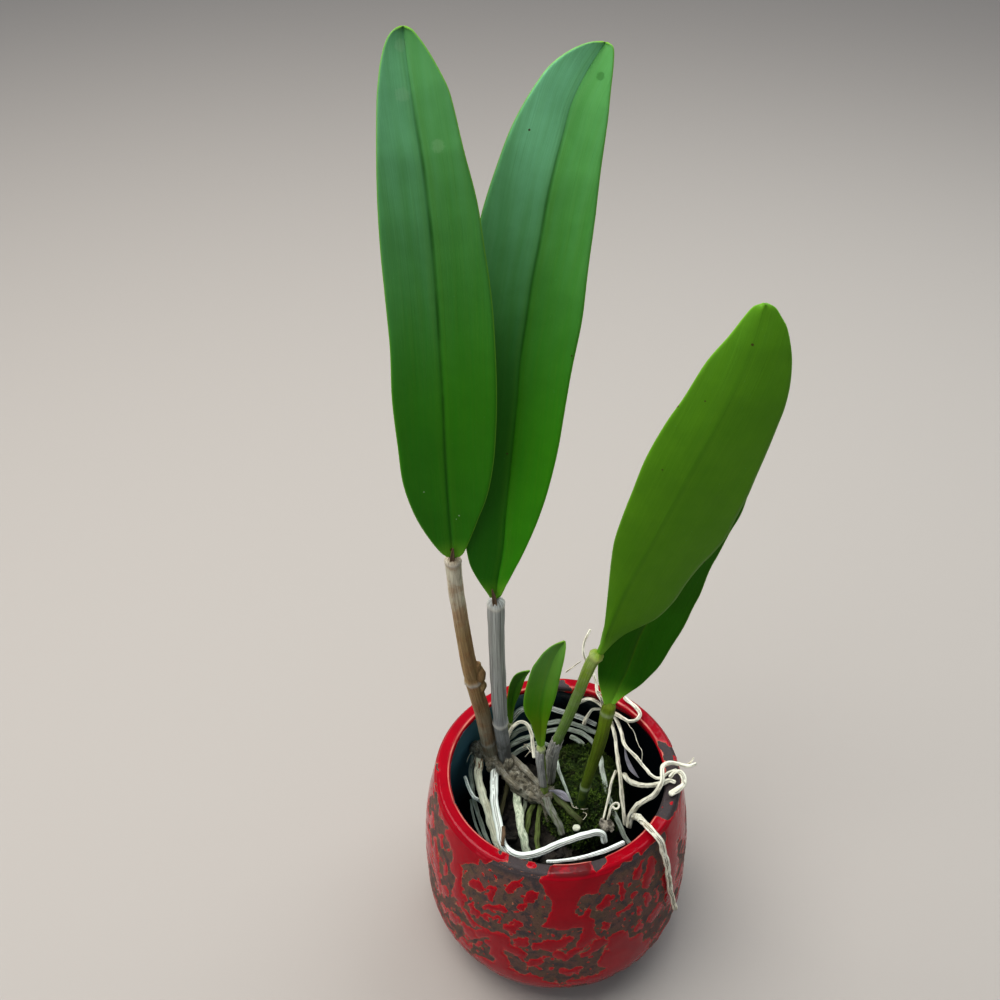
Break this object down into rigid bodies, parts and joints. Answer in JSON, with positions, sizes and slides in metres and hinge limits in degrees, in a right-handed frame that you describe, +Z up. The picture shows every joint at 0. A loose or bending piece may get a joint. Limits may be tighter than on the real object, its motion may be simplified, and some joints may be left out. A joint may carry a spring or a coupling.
{
  "type": "cattleya orchid in a cover pot",
  "caption": "Potted cattleya orchid: strap leaves on slender stems, a creeping rhizome and loose aerial roots over moss, standing in a round glazed cover pot.",
  "frame": {"origin": "centre of the pot's foot, on the surface it stands on", "axes": "+Z up, -Y towards the side the leaves face, +X to the right seen from there"},
  "size_m": [0.166, 0.147, 0.4956],
  "materials": {
    "glaze": "glossy red glaze crawled over a matt dark brown body, gloss black inside",
    "bark": "damp dark bark",
    "moss": "soft green moss",
    "pebble": "matt",
    "rhizome": "dry grey-brown bark",
    "old_stem": "dry silver-brown skin",
    "green_stem": "satin green skin",
    "leaf": "leathery, half gloss",
    "white_root": "chalky",
    "green_root": "chalky grey-green",
    "dry_sheath": "papery"
  },
  "bodies": {
    "root": {"bark_chip": "bark", "bract_front": "dry_sheath", "bract_right": "dry_sheath", "cover_pot": "glaze", "leaf_1": "leaf", "leaf_2": "leaf", "leaf_3": "leaf", "leaf_4": "leaf", "leaf_5": "leaf", "leaf_6": "leaf", "moss_mound": "moss", "pebble": "pebble", "potting_mix": "bark", "rhizome": "rhizome", "root_aerial": "white_root", "root_arch": "white_root", "root_back_fourth": "green_root", "root_back_loop": "white_root", "root_back_right": "green_root", "root_back_second": "green_root", "root_back_third": "green_root", "root_back_white": "white_root", "root_brown": "green_root", "root_curl": "white_root", "root_draping": "white_root", "root_front_white": "white_root", "root_green": "green_root", "root_grey_green": "green_root", "root_inside_rim": "white_root", "root_left": "white_root", "root_left_deep": "green_root", "root_left_fine": "green_root", "root_left_tip": "white_root", "root_moss_edge": "green_root", "root_mottled": "white_root", "root_olive_left": "green_root", "root_olive_mid": "green_root", "root_over_moss": "green_root", "root_over_rim": "white_root", "root_pale_short": "white_root", "root_right_branch": "white_root", "root_right_bridge": "white_root", "root_right_long": "white_root", "root_right_thin": "white_root", "root_rim_hairpin": "white_root", "root_small_loop": "white_root", "root_stub": "rhizome", "sheath_3": "dry_sheath", "sheath_5": "dry_sheath", "spathe_1": "dry_sheath", "spathe_2": "dry_sheath", "stem_1": "old_stem", "stem_2": "old_stem", "stem_3": "green_stem", "stem_4": "green_stem", "stem_5": "green_stem", "stem_6": "green_stem"}
  },
  "joints": []
}
